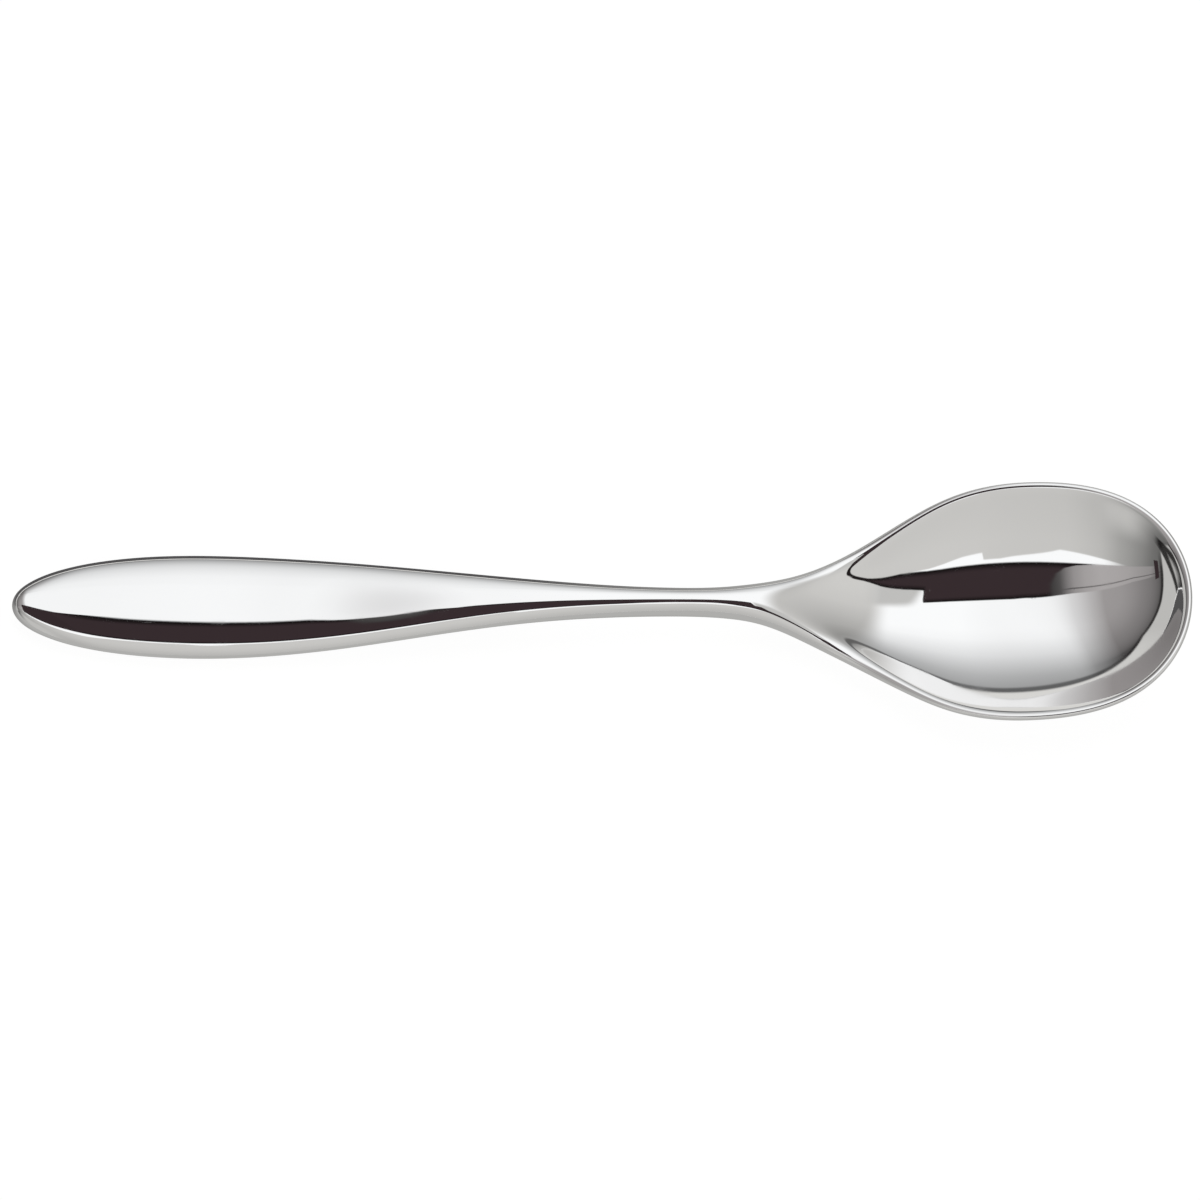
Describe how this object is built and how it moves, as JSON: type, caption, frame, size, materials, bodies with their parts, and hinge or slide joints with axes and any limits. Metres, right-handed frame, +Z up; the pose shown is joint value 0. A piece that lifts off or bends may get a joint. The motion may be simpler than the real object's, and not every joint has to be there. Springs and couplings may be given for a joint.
{
  "type": "table spoon",
  "caption": "Mirror-polished steel table spoon with a deep egg-shaped bowl, a thin round neck and a broad tapering handle, for eating and serving.",
  "frame": {"origin": "on the table under the middle of the spoon's length", "axes": "+X along the spoon from the handle's end to the bowl's tip, +Z up out of the bowl's hollow, +Y to the left of the bowl"},
  "size_m": [0.2002, 0.0428, 0.0136],
  "materials": {
    "polished_steel_handle": "stainless steel, mirror polished",
    "polished_steel_bowl": "stainless steel, mirror polished"
  },
  "bodies": {
    "root": {"handle": "polished_steel_handle", "bowl": "polished_steel_bowl"}
  },
  "joints": []
}
